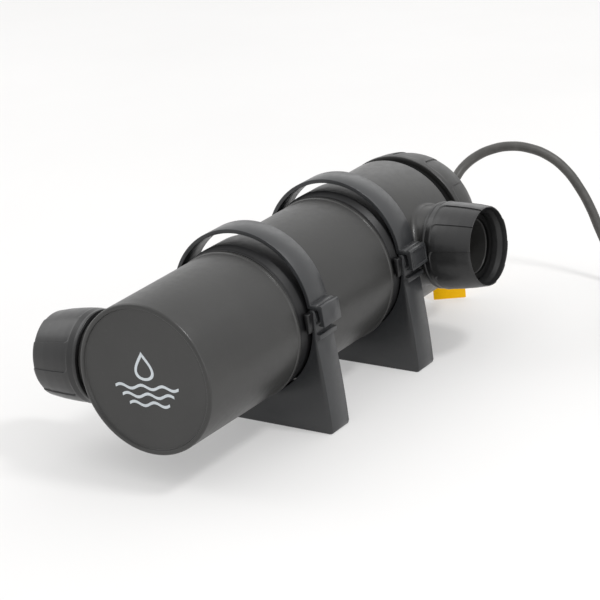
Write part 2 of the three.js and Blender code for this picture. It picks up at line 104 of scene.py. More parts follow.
# ------------------------------------------------------------------ materials
class Finish:
    """A Principled material whose colour, roughness and bump come from object-space noise."""

    def __init__(self, name, **fixed):
        self.material = bpy.data.materials.new(name)
        self.material.use_nodes = True
        self.nodes = self.material.node_tree.nodes
        self.links = self.material.node_tree.links
        self.shader = self.nodes["Principled BSDF"]
        self.place = self.nodes.new("ShaderNodeTexCoord").outputs["Object"]
        for socket, value in fixed.items():
            self.shader.inputs[socket.replace("_", " ")].default_value = value

    def noise(self, scale, detail=3.0, stretch=(1, 1, 1)):
        place = self.place
        if stretch != (1, 1, 1):
            mapping = self.nodes.new("ShaderNodeMapping")
            mapping.inputs["Scale"].default_value = stretch
            self.links.new(place, mapping.inputs["Vector"])
            place = mapping.outputs["Vector"]
        node = self.nodes.new("ShaderNodeTexNoise")
        node.inputs["Scale"].default_value = scale
        node.inputs["Detail"].default_value = detail
        self.links.new(place, node.inputs["Vector"])
        return node.outputs["Fac"]

    def spread(self, value, low, high, start=0.3, end=0.7):
        """Maps a noise value onto the range low to high."""
        node = self.nodes.new("ShaderNodeMapRange")
        self.links.new(value, node.inputs["Value"])
        for socket, number in (("From Min", start), ("From Max", end), ("To Min", low), ("To Max", high)):
            node.inputs[socket].default_value = number
        return node.outputs["Result"]

    def mix(self, factor, first, second):
        """Mixes two colours, each a tuple or a socket."""
        node = self.nodes.new("ShaderNodeMix")
        node.data_type = "RGBA"
        self.links.new(factor, node.inputs["Factor"])
        for socket, colour in ((node.inputs["A"], first), (node.inputs["B"], second)):
            if isinstance(colour, tuple):
                socket.default_value = (*colour, 1)
            else:
                self.links.new(colour, socket)
        return node.outputs["Result"]

    def colour(self, value):
        self.links.new(value, self.shader.inputs["Base Color"])

    def roughness(self, value):
        self.links.new(value, self.shader.inputs["Roughness"])

    def bump(self, height, strength, distance):
        node = self.nodes.new("ShaderNodeBump")
        node.inputs["Strength"].default_value = strength
        node.inputs["Distance"].default_value = distance
        self.links.new(height, node.inputs["Height"])
        self.links.new(node.outputs["Normal"], self.shader.inputs["Normal"])


def shade(colour, factor):
    """A colour made darker or lighter."""
    return tuple(min(1.0, channel * factor) for channel in colour)


def moulded(name, colour, roughness, grain=0.25, grain_scale=1400, **fixed):
    """Injection-moulded plastic: a fine spark-eroded grain, faint flow clouding and settled dust."""
    finish = Finish(name, **fixed)
    cloud = finish.noise(28, 4)
    dust = finish.noise(420, 5)
    body = finish.mix(finish.spread(cloud, 0, 1), shade(colour, 0.9), shade(colour, 1.1))
    specks = finish.spread(dust, 0, 0.45, 0.62, 0.8)
    finish.colour(finish.mix(specks, body, shade(colour, 1.5)))
    finish.roughness(finish.spread(finish.noise(240, 4), roughness - 0.03, roughness + 0.05))
    finish.bump(finish.noise(grain_scale, 2), grain, 0.0002)
    return finish.material


def rubber(name, colour, roughness=0.62, **fixed):
    """Matt rubber with a talc bloom."""
    finish = Finish(name, **fixed)
    bloom = finish.spread(finish.noise(160, 6), 0, 1, 0.4, 0.75)
    finish.colour(finish.mix(bloom, shade(colour, 0.9), shade(colour, 1.3)))
    finish.roughness(finish.spread(finish.noise(60, 3), roughness - 0.08, roughness + 0.1))
    finish.bump(finish.noise(900, 3), 0.2, 0.0003)
    return finish.material


def metal(name, colour, roughness, stretch):
    """Drawn metal with fine lines along its length."""
    finish = Finish(name, Metallic=1.0)
    lines = finish.noise(900, 2, stretch)
    finish.colour(finish.mix(finish.spread(finish.noise(120, 4), 0, 1), shade(colour, 0.86), colour))
    finish.roughness(finish.spread(lines, roughness - 0.08, roughness + 0.12))
    finish.bump(lines, 0.08, 0.0001)
    return finish.material


def clear(name, tint, roughness):
    """Clear glass with a faint film of water marks."""
    finish = Finish(name, Transmission_Weight=1.0, IOR=1.46)
    film = finish.spread(finish.noise(55, 6), 0, 1, 0.45, 0.75)
    finish.colour(finish.mix(film, tint, shade(tint, 0.93)))
    finish.roughness(finish.spread(finish.noise(210, 4), roughness, roughness + 0.1, 0.45, 0.8))
    return finish.material


VESSEL = moulded("vessel_plastic", (0.0275, 0.0272, 0.0262), 0.34, grain=0.12)
CLAMP = moulded(
    "clamp_plastic", (0.0235, 0.0245, 0.0262), 0.38, grain=0.12, Coat_Weight=0.2, Coat_Roughness=0.2
)
NUT = moulded(
    "nut_plastic", (0.0115, 0.0115, 0.0118), 0.34, grain=0.05, Coat_Weight=0.1, Coat_Roughness=0.16
)
CAP = moulded("cap_plastic", (0.0155, 0.0152, 0.0145), 0.42, grain=0.12)
BLACK = moulded("black_plastic", (0.011, 0.011, 0.012), 0.5, grain=0.3)
# Near black: painted shade, for the vessel's bands under the clamps and for the guide lugs.
SHADE_BLACK = moulded("painted_shade_black", (0.005, 0.005, 0.0055), 0.42, grain=0.05)
WHITE = moulded("white_plastic", (0.62, 0.61, 0.57), 0.42)
YELLOW = moulded("yellow_plastic", (0.95, 0.5, 0.002), 0.5, Specular_IOR_Level=0.15)
PRINT = moulded("white_print", (0.56, 0.6, 0.63), 0.55, grain=0.08)
# Near black: the rubber's own black, made darker still as painted shade for the gap between the vessel and
# the cap.
RUBBER = rubber("black_rubber", (0.003, 0.003, 0.003), 0.7, Specular_IOR_Level=0.12)
CORD = rubber("cord_rubber", (0.06, 0.058, 0.054), 0.45)
BOARD = moulded("circuit_board", (0.02, 0.16, 0.06), 0.35)
STAMPED = metal("stamped_steel", (0.42, 0.42, 0.43), 0.4, (0.05, 1, 1))
STEEL = metal("steel", (0.56, 0.56, 0.57), 0.3, (1, 0.05, 1))
NICKEL = metal("nickel", (0.72, 0.7, 0.66), 0.16, (1, 0.05, 1))
QUARTZ = clear("quartz", (0.93, 0.96, 0.98), 0.0)
LAMP = moulded("lamp_glass", (0.72, 0.74, 0.76), 0.12, grain=0.02, Coat_Weight=0.6)


# ------------------------------------------------------------------ mesh helpers
def smooth_step(value, low, high):
    """Rises from 0 at low to 1 at high, level at both ends."""
    share = min(max((value - low) / (high - low), 0), 1)
    return share * share * (3 - 2 * share)


def circle_point(centre, radius, angle):
    return (centre[0] + radius * math.cos(angle), centre[1] + radius * math.sin(angle))


def sweep(centre, radius, start, end, steps):
    """Points of an arc, in degrees from start to end."""
    return [
        circle_point(centre, radius, math.radians(start + (end - start) * i / steps))
        for i in range(steps + 1)
    ]


def rounded(points, closed=True, steps=4):
    """A polyline of (u, v) or (u, v, radius) points with those corners rounded."""
    made = []
    count = len(points)
    for i, point in enumerate(points):
        here = Vector(point[:2])
        if len(point) < 3 or (not closed and i in (0, count - 1)):
            made.append(tuple(here))
            continue
        before = (Vector(points[i - 1][:2]) - here).normalized()
        after = (Vector(points[(i + 1) % count][:2]) - here).normalized()
        half = before.angle(after) / 2
        reach = point[2] / math.tan(half)
        centre = here + (before + after).normalized() * point[2] / math.sin(half)
        first, last = here + before * reach - centre, here + after * reach - centre
        turn = first.angle_signed(last)
        for k in range(steps + 1):
            made.append(tuple(centre + Matrix.Rotation(-turn * k / steps, 2) @ first))
    return made


def lathe(profile, segments=128, closed=True):
    """A profile of (radius, station) turned about Y, as (vertices, faces)."""
    count = len(profile)
    vertices = [
        (radius * math.cos(angle), station, radius * math.sin(angle))
        for angle in (2 * math.pi * k / segments for k in range(segments))
        for radius, station in profile
    ]
    faces = []
    for k in range(segments):
        here, there = k * count, (k + 1) % segments * count
        for i in range(count if closed else count - 1):
            j = (i + 1) % count
            faces.append((here + i, here + j, there + j, there + i))
    return vertices, faces


def prism(outline, start, end):
    """A closed outline of (x, z) points extruded along Y, as (vertices, faces)."""
    count = len(outline)
    vertices = [(x, y, z) for y in (start, end) for x, z in outline]
    faces = [tuple(range(count)), tuple(range(2 * count - 1, count - 1, -1))]
    faces += [(i, (i + 1) % count, count + (i + 1) % count, count + i) for i in range(count)]
    return vertices, faces


def block(x0, x1, y0, y1, z0, z1):
    """A box between six planes, as (vertices, faces)."""
    return prism([(x0, z0), (x1, z0), (x1, z1), (x0, z1)], y0, y1)


def grid(rows, columns, point, wrap=True):
    """A sheet of rows by columns points, wrapped round on its columns, as (vertices, faces)."""
    vertices = [point(i, j) for i in range(rows) for j in range(columns)]
    faces = []
    for i in range(rows - 1):
        for j in range(columns if wrap else columns - 1):
            k = (j + 1) % columns
            faces.append((i * columns + j, i * columns + k, (i + 1) * columns + k, (i + 1) * columns + j))
    return vertices, faces


def merged(*shapes):
    """Several (vertices, faces) as one."""
    vertices, faces = [], []
    for more, sides in shapes:
        faces += [tuple(index + len(vertices) for index in side) for side in sides]
        vertices += more
    return vertices, faces


MERGE_DISTANCE = 2e-6


def raw_object(name, shape, matrix):
    """A mesh object from (vertices, faces), with its normals outward and no material yet."""
    mesh = bpy.data.meshes.new(name)
    mesh.from_pydata([matrix @ Vector(v) for v in shape[0]], [], shape[1])
    work = bmesh.new()
    work.from_mesh(mesh)
    bmesh.ops.remove_doubles(work, verts=work.verts, dist=MERGE_DISTANCE)
    bmesh.ops.recalc_face_normals(work, faces=work.faces)
    work.to_mesh(mesh)
    work.free()
    made = bpy.data.objects.new(name, mesh)
    bpy.context.scene.collection.objects.link(made)
    return made


def apply_modifiers(made):
    bpy.context.view_layer.update()
    evaluated = made.evaluated_get(bpy.context.evaluated_depsgraph_get())
    mesh = bpy.data.meshes.new_from_object(evaluated)
    made.modifiers.clear()
    made.data = mesh


def carve(made, shape, matrix):
    """Cuts a closed shape out of an object."""
    tool = raw_object("tool", shape, matrix)
    modifier = made.modifiers.new("cut", "BOOLEAN")
    modifier.object = tool
    modifier.solver = "EXACT"
    apply_modifiers(made)
    bpy.data.objects.remove(tool)


def soften(made, width, segments=3, angle=30):
    """Rounds the edges sharper than the angle, in degrees."""
    modifier = made.modifiers.new("edges", "BEVEL")
    modifier.width = width * MM
    modifier.segments = segments
    modifier.limit_method = "ANGLE"
    modifier.angle_limit = math.radians(angle)
    modifier.harden_normals = True
    modifier.use_clamp_overlap = True
    apply_modifiers(made)


def finish_piece(made, body, material, nodes=(), sharp=35):
    """Gives a mesh its material and its smooth shading, ties it to its body and hides the CAD nodes it stands
    in for.
    """
    made.data.materials.clear()
    made.data.materials.append(material)
    for side in made.data.polygons:
        side.use_smooth = True
        side.material_index = 0
    made.data.set_sharp_from_angle(angle=math.radians(sharp))
    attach(made, body)
    if nodes:
        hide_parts(*nodes)
    return made


def piece(name, shape, matrix, body, material, nodes=(), edge=0.0, sharp=35):
    """A finished piece of the model, with its sharp edges rounded by edge."""
    made = raw_object(name, shape, matrix)
    if edge:
        soften(made, edge)
    return finish_piece(made, body, material, nodes, sharp)


# ------------------------------------------------------------------ mains cord
CORD_RADIUS = 3.35
CORD_ROUTE = [
    (0.3, 363.5, 74),
    (2, 371.3, 79.4),
    (8.5, 379.6, 85.8),
    (18, 386.1, 90.1),
    (29.3, 391.3, 91.8),
    (41.5, 395.6, 90.2),
    (54.5, 399, 84.8),
    (66, 400.9, 75.6),
    (75.9, 401.2, 63.3),
    (83.9, 400.7, 50.1),
    (90.6, 399.2, 36.7),
    (97.8, 397.2, 24.5),
    (106.5, 394.8, 14.5),
    (117, 392.2, 7.6),
    (130, 390.2, 4.3),
    (145, 389.2, 3.6),
    (160, 389, 3.6),
    (175.5, 389, 3.6),
]
TAIL_ROUTE = [
    (259.2, 306.5, 22),
    (259.7, 297, 19.6),
    (260.4, 286, 16.4),
    (261, 276, 12.9),
    (261.4, 267, 10.6),
    (261.6, 259, 9.5),
    (261.6, 250, 9.2),
]
EXIT = (0, 346.5, 66.85)
COIL_CENTRE = (204, 335)
COIL_INNER_RADIUS = 26.8
COIL_FIRST_HEIGHT = 4.25
COIL_PITCH = 6.8  # from track to track, and from layer to layer
LAYERS = [(4, 3, 2, 1, 0), (1, 2, 3, 4), (3, 2, 1, 0), (1, 2, 3, 4)]  # each turn's track, from the inside
KNOTS_PER_TURN = 18
KNOTS_IN_LAST_TURN = 5
CLIMB_SHARE = 1 / 3  # of a turn


def coil_points():
    """The wound cord: it spirals from track to track, and where it turns back it climbs a layer first."""
    turns = [(layer, track) for layer, tracks in enumerate(LAYERS) for track in tracks]
    points = []
    for number, (layer, track) in enumerate(turns):
        last = number + 1 == len(turns)
        next_layer, next_track = turns[number] if last else turns[number + 1]
        for k in range(KNOTS_IN_LAST_TURN if last else KNOTS_PER_TURN):
            travel = k / KNOTS_PER_TURN
            step = smooth_step(travel, CLIMB_SHARE, 1) if next_layer > layer else travel
            rise = smooth_step(travel, 0, CLIMB_SHARE)
            radius = COIL_INNER_RADIUS + COIL_PITCH * (track + (next_track - track) * step)
            height = COIL_FIRST_HEIGHT + COIL_PITCH * (layer + (next_layer - layer) * rise)
            x, y = circle_point(COIL_CENTRE, radius, math.pi / 2 - 2 * math.pi * travel)
            points.append((x, y, height))
    return points


def add_cord():
    """The mains cord as one curve, from the strain relief through the coil to the plug."""
    route = [EXIT, (0, 351, 68.3), (0, 356.5, 70.4), *CORD_ROUTE, (190, 389, 3.9), *coil_points()]
    route += [(258.3, 322, 23.9), *TAIL_ROUTE]
    curve = bpy.data.curves.new("mains_cord", "CURVE")
    curve.dimensions = "3D"
    curve.bevel_depth = CORD_RADIUS * MM
    curve.bevel_resolution = 5
    curve.resolution_u = 6
    curve.use_fill_caps = True
    spline = curve.splines.new("BEZIER")
    spline.bezier_points.add(len(route) - 1)
    for knot, place in zip(spline.bezier_points, route):
        knot.co = MACHINE @ Vector(place)
        knot.handle_left_type = knot.handle_right_type = "AUTO"
    curve.materials.append(CORD)
    cord = bpy.data.objects.new("mains_cord", curve)
    bpy.context.scene.collection.objects.link(cord)
    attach(cord, "lamp_insert")
    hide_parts("power_cord", "cord_coil", "cord_tail")
    return cord


CORD_OBJECT = add_cord()


def add_coil_tie():
    """A moulded band round the coil's turns, closed by a small clasp."""
    centre, half, thickness, corner, bearing = (40.4, 14.55), (18.1, 14.1), 0.9, 3, 50
    outlines = []
    for inset in (0, thickness):
        wide, tall = half[0] - inset, half[1] - inset
        corners = ((-wide, -tall, corner), (wide, -tall, corner), (wide, tall, corner), (-wide, tall, corner))
        outlines.append([(centre[0] + x, centre[1] + z) for x, z in rounded(corners)])
    rings = [[(x, y, z) for x, z in outline] for y in (-3, 3) for outline in outlines]
    order = [rings[0], rings[2], rings[3], rings[1], rings[0]]
    band = grid(len(order), len(rings[0]), lambda i, j: order[i][j])
    clasp = block(58, 60.2, -3.6, 3.6, 11, 19)
    turn = MACHINE @ Matrix.Translation((*COIL_CENTRE, 0)) @ Matrix.Rotation(math.radians(bearing), 4, "Z")
    shape = merged(band, clasp)
    return piece("coil_tie_band", shape, turn, "lamp_insert", BLACK, ["coil_tie"], edge=0.3)


def add_plug():
    """Two-pin plug: an oval body with finger grooves and a ribbed neck."""
    x, front, height, half, roundness, pin_spacing = 261.6, 195, 9.2, (17.6, 8.9), 0.72, 19
    stations = [0, 0.4, 1.5, 6, 9, 9.6, 11, 11.6, 14, 14.6, 16, 16.6, 19, 24, 29, 32, 33.4, 34]
    insets = [1.2, 0.4, 0, 0, 0, 0.7, 0.7, 0, 0, 0.7, 0.7, 0, 0, 0.4, 1.4, 3.2, 5.5, 8]
    columns = 72

    def point(i, j):
        angle = 2 * math.pi * j / columns
        wide, tall = half[0] - insets[i], half[1] - insets[i] * 0.45
        cosine, sine = math.cos(angle), math.sin(angle)
        return (
            math.copysign(abs(cosine) ** roundness, cosine) * wide,
            front + stations[i],
            math.copysign(abs(sine) ** roundness, sine) * tall,
        )

    rows = len(stations)
    vertices, faces = grid(rows, columns, point)
    faces += [tuple(range(columns)), tuple(range((rows - 1) * columns, rows * columns))]
    neck = [(0, 227), (7.4, 227), (7.4, 231)]
    for rib in range(6):
        station, radius = 231.5 + rib * 3, 6.9 - 0.35 * rib
        groove = radius - 1.1
        neck += [(radius, station), (radius, station + 1.8), (groove, station + 2.1), (groove, station + 2.8)]
    neck += [(4.6, 249.5), (4.3, 251.7), (0, 251.7)]
    seat = MACHINE @ Matrix.Translation((x, 0, height))
    shape = merged((vertices, faces), lathe(neck, 48, False))
    made = [piece("plug_body", shape, seat, "lamp_insert", CORD, ["mains_plug"], sharp=40)]
    pin = lathe(rounded([(0, 176), (2.4, 176, 0.9), (2.4, 194.9), (0, 194.9)], False), 32, False)
    for number, side in ((1, -1), (2, 1)):
        place = MACHINE @ Matrix.Translation((x + pin_spacing / 2 * side, 0, height))
        nodes = [f"plug_pin_{number}"]
        made.append(piece(f"plug_contact_{number}", pin, place, "lamp_insert", NICKEL, nodes))
    return made


def add_boot():
    """Ribbed strain relief, flexed upward with the cord."""
    start, length, flex, columns = 326.3, 21, 3.5, 48
    profile = [(0, start), (6.2, start), (6.3, 326.9), (6.2, 329), (5.9, 329.6)]
    for rib in range(6):
        station, radius = 330.4 + rib * 2.6, 5.75 - 0.16 * rib
        groove = radius - 0.9
        profile += [(groove, station), (groove, station + 0.7)]
        profile += [(radius, station + 1), (radius, station + 2.3)]
    profile += [(4.7, 346.2), (4.4, 347.3), (0, 347.3)]

    def point(i, j):
        radius, station = profile[i]
        angle = 2 * math.pi * j / columns
        lift = flex * ((station - start) / length) ** 2
        return (radius * math.cos(angle), station, radius * math.sin(angle) + lift)

    shape = grid(len(profile), columns, point)
    nodes = ["cord_boot"]
    return piece("cord_strain_relief", shape, LEVEL, "lamp_insert", RUBBER, nodes, sharp=40)


def add_tag():
    """A plain yellow tag on a thin loop round the strain relief."""
    wide, tall, thick, hole_radius, hole_drop = 22, 51.2, 0.8, 2.4, 3.2
    corners = [(-wide / 2, 0, 0.5), (wide / 2, 0, 0.5), (wide / 2, tall, 3), (-wide / 2, tall, 3)]
    lean = Matrix.Rotation(-math.radians(15.8), 4, "X")
    yaw = Matrix.Rotation(math.radians(35), 4, "Z")
    place = MACHINE @ Matrix.Translation((12.5, 325.7, 0.6)) @ yaw @ lean
    tag = raw_object("yellow_tag", prism(rounded(corners), -thick / 2, thick / 2), place)
    hole = lathe([(0, -2), (hole_radius, -2), (hole_radius, 2), (0, 2)], 32, False)
    carve(tag, hole, place @ Matrix.Translation((0, 0, tall - hole_drop)))
    soften(tag, 0.15, 2)
    finish_piece(tag, "lamp_insert", YELLOW, ["warning_tag"])
    loop_centre, loop_half, loop_radius = (1, 336.4, 58.5), (8.2, 13.5), 0.6
    columns, section = 96, 12

    def point(i, j):
        around, across = 2 * math.pi * j / columns, 2 * math.pi * i / section
        out = loop_radius * math.cos(across)
        return (
            loop_centre[0] + math.cos(around) * (loop_half[0] + out),
            loop_centre[1] + loop_radius * math.sin(across),
            loop_centre[2] + math.sin(around) * (loop_half[1] + out),
        )

    shape = grid(section + 1, columns, point)
    loop = piece("tag_tie", shape, MACHINE, "lamp_insert", BLACK, ["tag_loop"])
    return [tag, loop]


CORD_EXTRAS = [add_coil_tie(), *add_plug(), add_boot(), *add_tag()]


# ------------------------------------------------------------------ vessel
VESSEL_LENGTH = 278
NECK_END = 300
FRONT_RADIUS, TAPER = 45, 2.6
BAND_SPANS = ((90, 119), (195.5, 224.5))
BAND_RADIUS = 44.7
BEAD_HEIGHT = 0.5
PAD_INSIDE = 44.4
PAD_TOPS = (46.4, 47.2)  # radii of the pads under the straps
PAD_RISE = (1.4, 1.8)  # how far each pad's centre stands above the vessel's axis
FACE_DEPTH = 1.5  # of the front face behind its rim
CORE_RADIUS = 44.4  # within the shell's wall, where the ports' collars end
COLLAR_RADIUS, COLLAR_END = 25.3, 51.1  # ends are measured out from the vessel's axis
SPIGOT_RADIUS, SPIGOT_END = 21.4, 74


def vessel_radius(station):
    """The tapered shell's radius at a distance from the front face."""
    return FRONT_RADIUS + TAPER * station / VESSEL_LENGTH


def add_vessel():
    """The tapered shell with its sunk front face, two recessed bands and the neck for the cap."""
    bands = []
    for start, end in BAND_SPANS:
        bands += [
            (vessel_radius(start), start - 2.4, 0.6),
            (vessel_radius(start) + BEAD_HEIGHT, start - 1.8, 0.5),
            (vessel_radius(start) + BEAD_HEIGHT, start, 0.4),
            (BAND_RADIUS, start + 0.3, 0.2),
            (BAND_RADIUS, end - 0.3, 0.2),
            (vessel_radius(end), end, 0.35),
        ]
    profile = rounded([
        (0, FACE_DEPTH), (41.7, FACE_DEPTH, 0.5), (42.3, 0, 0.6), (45.05, 0, 1.6), *bands,
        (47.6, VESSEL_LENGTH, 0.9), (43, VESSEL_LENGTH), (43, NECK_END, 0.4), (39, NECK_END, 0.4),
        (39, 270, 1), (44, 267.5), (41.4, 3.6, 1.5), (0, 3.6),
    ], False)
    vessel = raw_object("vessel_shell", lathe(profile, 160, False), BARREL)
    bore = lathe([(0, 20), (18, 20), (18, 60), (0, 60)], 96, False)
    for name in PORTS:
        carve(vessel, bore, port_frame(name))
    finish_piece(vessel, "vessel_body", VESSEL, ["vessel"], sharp=28)


def add_band_pads():
    """The pads in the vessel's bands: thickest on top, under the straps, and thin in the saddles. Their
    near-black colour is painted shade, where the straps and saddles shade the bands.
    """
    for place, (start, end), top, rise in zip(("front", "rear"), BAND_SPANS, PAD_TOPS, PAD_RISE):
        section = rounded([
            (PAD_INSIDE, start + 0.5), (45.1, start + 0.5, 0.2), (45.2, start + 2.5, 2),
            (top, start + 7.5, 3), (top, end - 0.6, 0.3), (PAD_INSIDE, end - 0.6),
        ])
        seat = LEVEL @ Matrix.Translation((0, 0, rise))
        piece(f"{place}_band_pad", lathe(section, 160), seat, "vessel_body", SHADE_BLACK)


def add_port(name):
    """A port's collar and spigot, with a rolling-ball fillet where it meets the round vessel."""
    side, station = PORTS[name]
    ball, sunk, columns, rows = 3.6, 0.5, 144, 13
    path = COLLAR_RADIUS + ball

    def flare(i, j):
        turn = 2 * math.pi * j / columns
        across, along = math.cos(turn), math.sin(turn)
        radius = vessel_radius(station - side * path * across)
        height = path * along
        out = math.sqrt((radius + ball) ** 2 - height**2)
        centre = Vector((path * across, out, height))
        to_collar = Vector((-across, 0, -along))
        to_vessel = Vector((0, -out, -height)).normalized()
        if i == rows - 1:
            return centre + to_vessel * (ball + sunk)
        return centre + to_collar.slerp(to_vessel, i / (rows - 2)) * ball

    fillet = grid(rows, columns, flare)
    tube = rounded([
        (COLLAR_RADIUS, 38), (COLLAR_RADIUS, COLLAR_END, 0.5), (SPIGOT_RADIUS, COLLAR_END),
        (SPIGOT_RADIUS, SPIGOT_END, 0.6), (17, SPIGOT_END, 0.5), (17, 40), (20, 38),
    ])
    made = raw_object(f"{name}_collar", lathe(tube, columns), port_frame(name))
    core = lathe([(0, 0), (CORE_RADIUS, 0), (CORE_RADIUS, NECK_END), (0, NECK_END)], 160, False)
    carve(made, core, BARREL)
    finish_piece(made, "vessel_body", VESSEL)
    piece(f"{name}_fillet", fillet, port_frame(name), "vessel_body", VESSEL, sharp=60)


add_vessel()
add_band_pads()
for port in PORTS:
    add_port(port)
    seal = rounded([(21, 74.3, 0.5), (21, 76.3, 0.5), (17.4, 76.3, 0.5), (17.4, 74.3, 0.5)])
    ring = lathe(seal, 96)
    piece(f"{port}_seal", ring, port_frame(port), "vessel_body", RUBBER, [f"{port}_gasket"])
# The neck seal's near-black rubber is partly painted shade of the gap between the vessel and the cap.
neck_ring = lathe(rounded([(45.2, 278.3, 0.8), (45.2, 285.7, 0.8), (43.3, 285.7), (43.3, 278.3)]), 128)
piece("neck_seal", neck_ring, BARREL, "vessel_body", RUBBER, ["neck_gasket"])


# ------------------------------------------------------------------ union nuts and screw cap
PANEL_ROUND = 0.2  # the share of a panel's width over which its corner is round
PANEL_EDGE = 0.4  # half the width of the step at a panel's inner end
PANEL_FADE = 1.3  # how a panel rises to the surface: 1 is a straight ramp, more is hollow
PROFILE_STEP = 0.6


def recess(share, station, panel):
    """Depth of a grip panel: sunk at its leading edge, then rising flush across its width."""
    lead = min(share / PANEL_ROUND, 1)
    inner = panel["start"] + panel["corner"] * (1 - math.sqrt(max(1 - (1 - lead) ** 2, 0)))
    edge = smooth_step(station, inner - PANEL_EDGE, inner + PANEL_EDGE)
    return panel["deep"] * (1 - share) ** PANEL_FADE * edge * panel["end"](station)


def panelled(outer, rest, panel):
    """A turned shell: the outer profile's points carry the grip panels, the rest closes it."""
    shares = [-0.01, 0.0, 0.012, 0.024, 0.04] + [0.06 + 0.9 * k / 17 for k in range(18)]
    columns = [(number, share) for number in range(panel["count"]) for share in shares]
    closed = outer + rest + outer[:1]

    def point(i, j):
        number, share = columns[j]
        radius, station = closed[i]
        angle = panel["phase"] - 2 * math.pi * (number + share) / panel["count"]
        if share > 0 and (i < len(outer) or i == len(closed) - 1):
            radius -= recess(share, station, panel)
        return (radius * math.cos(angle), station, radius * math.sin(angle))

    return grid(len(closed), len(columns), point)


def along(points, step):
    """A polyline with points added so that none is further than step from the next."""
    made = [points[0]]
    for first, last in zip(points, points[1:]):
        parts = max(1, math.ceil(math.dist(first, last) / step))
        made += [
            (first[0] + (last[0] - first[0]) * k / parts, first[1] + (last[1] - first[1]) * k / parts)
            for k in range(1, parts + 1)
        ]
    return made


def add_nut(name):
    """A port's union nut: a barrel with a bead at its inner end and a cone inside its mouth."""
    outer = rounded([
        (26.3, 51.4), (27.6, 51.4, 0.8), (27.6, 53.4, 0.8), (27.2, 54, 0.6), (27.9, 57.4, 3),
        (27.9, 62, 20), (27.5, 68, 20), (26.7, 76, 20), (25.4, 84.4, 6), (25.05, 85.1, 0.3), (24.8, 85.1),
    ], False)[1:-1]
    rest = rounded([
        (24.6, 85.1), (24.3, 85.1, 0.15), (23.8, 82, 3), (22.5, 79, 3), (21.9, 76, 2),
        (21.9, 53.4, 0.3), (23.4, 51.4, 0.2), (26, 51.4),
    ], False)
    panel = {
        "count": 10, "deep": 0.6, "start": 58, "corner": 3.2, "end": lambda station: 1,
        "phase": math.radians({"inlet": 109, "outlet": 45.7}[name]),
    }
    shape = panelled(along(outer, PROFILE_STEP), rest, panel)
    place, body = port_frame(name), f"{name}_nut"
    piece(f"{name}_union_nut", shape, place, body, NUT, [f"{name}_nut"], sharp=24)


def add_cap():
    """The domed screw cap, open in the middle for the insert's back cover."""
    dome = sweep((0, 0), 1, 0, 90, 20)
    outer = [(46.6, 286.2), (47.5, 286.4)] + [(38.6 + 9.2 * u, 287 + 28 * v) for u, v in dome]
    rest = rounded([
        (37.4, 315.2, 0.6), (36.4, 313.6, 0.4), (37.4, 308.4), (33, 308.4, 0.4), (33, 304.7), (43.6, 304.7),
        (43.6, 286.2, 0.4), (45.5, 286.2),
    ], False)
    panel = {
        "count": 12, "deep": 0.7, "start": 291, "corner": 4, "phase": 0.15,
        "end": lambda station: 1 - smooth_step(station, 309, 313.5),
    }
    shape = panelled(along(outer, PROFILE_STEP), rest, panel)
    piece("screw_cap", shape, LEVEL, "cap", CAP, ["cap_nut"], sharp=24)


for port in PORTS:
    add_nut(port)
add_cap()


# ------------------------------------------------------------------ clamps
HINGE = tuple(value * 1000 for value in JOINTS["front_strap_hinge"]["pos_m"])
CLAMP_WIDTH = 18.6
CLAMPS = {"front": 99, "rear": 202.5}  # stations of the clamps' front faces
CRADLE_CENTRE, CRADLE_RADIUS, CRADLE_TOP = (0, 66.2), 48.4, 76.9
STRAP_CENTRE = (0, 71.2)
STRAP_INSIDE, STRAP_OUTSIDE = 46.6, 49.1
STRAP_LOW, STRAP_HIGH = 77.2, 80.2  # heights of the latch's underside and top
KNUCKLE_CENTRE, KNUCKLE_RADIUS = (-52, 72.5), 4.2
KNUCKLE_WIDTH, KNUCKLE_BORE = 8, 1.78
CLAMP_EDGE = 0.55


def quadratic(first, control, last, steps=10):
    """Points of a quadratic curve."""
    return [
        tuple((1 - t) ** 2 * a + 2 * t * (1 - t) * b + t * t * c for a, b, c in zip(first, control, last))
        for t in (k / steps for k in range(steps + 1))
    ]


def saddle_outline():
    """The foot's flanks, the barb for the latch on +X, the cradle and the knuckle on -X."""
    rise = math.degrees(math.asin((CRADLE_TOP - CRADLE_CENTRE[1]) / CRADLE_RADIUS))
    foot, bow = (57.6, 2.5), (55.6, 30)
    right = quadratic(foot, bow, (50.8, 58.4))
    left = [(-x, z) for x, z in reversed(quadratic(foot, bow, (50.8, 57)))]
    arm = rounded([
        (50.8, 58.6), (53.6, 59.2, 0.4), (53.6, 62, 0.4), (51.1, 62.2), (51.1, 70), (52.2, 70.6, 0.3),
        (51.1, 75), (50.5, CRADLE_TOP, 0.4),
    ], False)
    return [
        (55.4, 0), (57, 0.5), *right, *arm, *sweep(CRADLE_CENTRE, CRADLE_RADIUS, rise, -180, 72),
        (-48.4, 72.4), *sweep(KNUCKLE_CENTRE, KNUCKLE_RADIUS, 0, 180, 20), (-54.8, 62), *left,
        (-57, 0.5), (-55.4, 0),
    ]


def pocket(side, start, end, foot, waist, front, rear):
    """A hollow cored into the foot from behind, between start and end across, under the cradle."""
    wall, steps = 3, 10
    across = [end + (start - end) * k / steps for k in range(steps + 1)]
    under = [(x, CRADLE_CENTRE[1] - math.sqrt((CRADLE_RADIUS + wall) ** 2 - x**2)) for x in across]
    outline = [(start, wall), (foot, wall), waist, *under]
    return prism([(side * x, z) for x, z in outline], front + wall, rear + 1)


